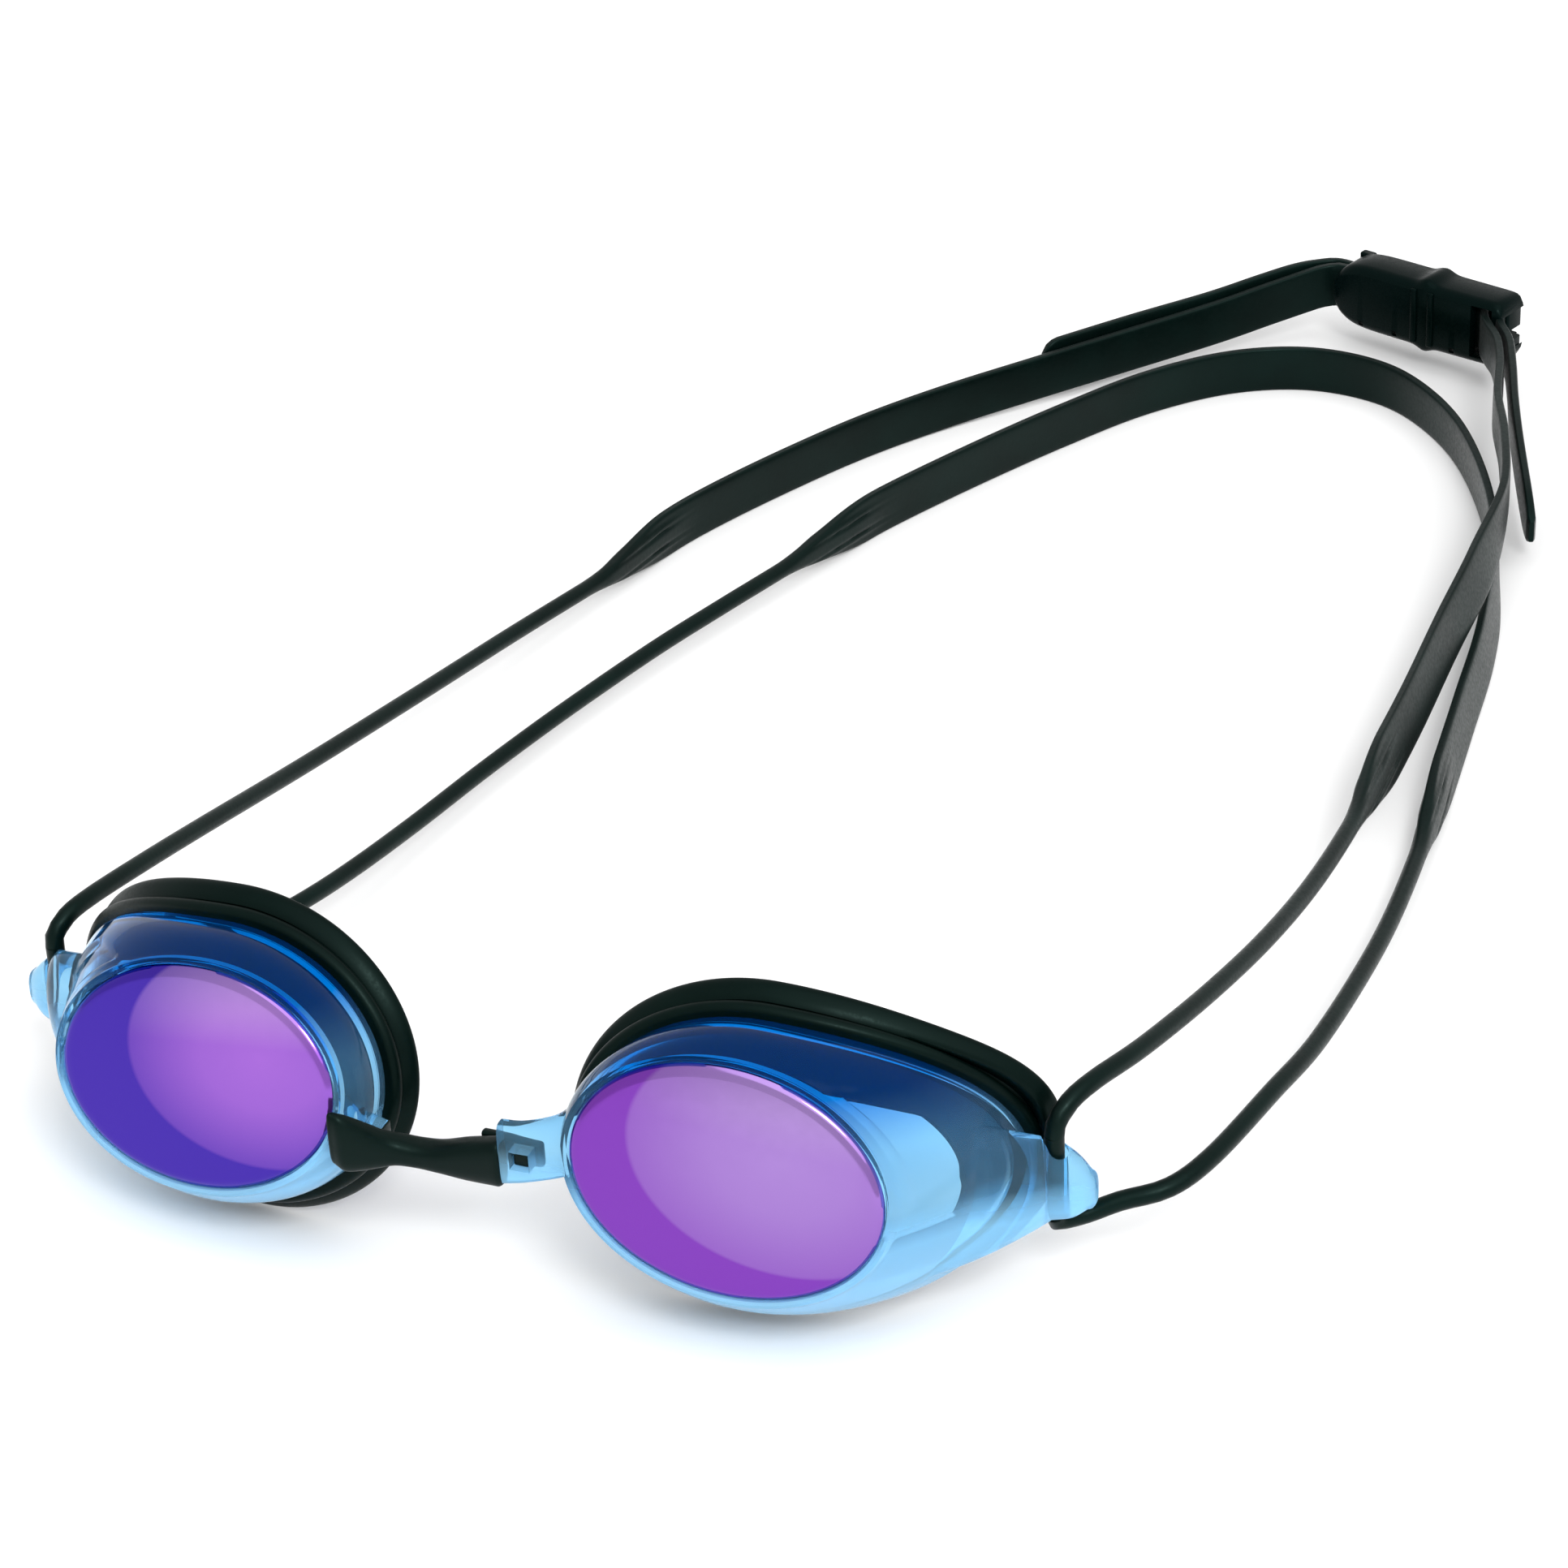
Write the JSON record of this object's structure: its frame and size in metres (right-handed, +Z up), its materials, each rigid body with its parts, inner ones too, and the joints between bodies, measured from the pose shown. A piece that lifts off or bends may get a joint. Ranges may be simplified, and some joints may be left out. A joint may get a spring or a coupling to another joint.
{
  "type": "swim goggles",
  "caption": "Racing swim goggles with mirrored oval lenses, clear blue cups, soft black seals and nose bridge, and a split strap with a slide buckle.",
  "frame": {"origin": "on the floor under the middle of the whole object's box", "axes": "+Z up, +Y from the lenses towards the buckle at the back of the head, +X along the two cups"},
  "size_m": [0.1562, 0.29, 0.0401],
  "materials": {
    "clear_blue": "clear blue polycarbonate, polished",
    "purple_mirror": "polycarbonate with a purple mirror coating",
    "seal_black": "soft moulded seal, satin",
    "bridge_black": "soft moulded rubber, satin",
    "silicone_black": "moulded silicone, satin",
    "buckle_black": "moulded plastic, satin"
  },
  "bodies": {
    "front": {"left_cup": "clear_blue", "right_cup": "clear_blue", "left_lens": "purple_mirror", "right_lens": "purple_mirror", "left_gasket": "seal_black", "right_gasket": "seal_black", "nose_bridge": "bridge_black", "left_eye_cord": "silicone_black", "right_eye_cord": "silicone_black"},
    "upper_strap": {"upper_left_cord": "silicone_black", "upper_left_band": "silicone_black", "upper_right_cord": "silicone_black", "upper_right_band": "silicone_black", "buckle": "buckle_black"},
    "lower_strap": {"lower_left_cord": "silicone_black", "lower_left_band": "silicone_black", "lower_back_band": "silicone_black", "lower_right_band": "silicone_black", "lower_right_cord": "silicone_black"},
    "left_tail": {"left_tail": "silicone_black"},
    "right_tail": {"right_tail": "silicone_black"}
  },
  "joints": [
    {"name": "strap_swing", "type": "hinge", "parent": "front", "child": "upper_strap", "pos_m": [0, -0.11854, 0.01664], "axis": [1, 0, 0], "range_deg": [-60, 75]},
    {"name": "strap_split", "type": "hinge", "parent": "upper_strap", "child": "lower_strap", "pos_m": [0, -0.11854, 0.01664], "axis": [1, 0, 0], "range_deg": [-40, 0]},
    {"name": "left_tail_slide", "type": "slide", "parent": "upper_strap", "child": "left_tail", "axis": [-0.7186, -0.6884, -0.0985], "range_m": [-0.0025, 0.01]},
    {"name": "right_tail_slide", "type": "slide", "parent": "upper_strap", "child": "right_tail", "axis": [0.36, -0.9301, -0.0726], "range_m": [-0.0025, 0.01]}
  ]
}
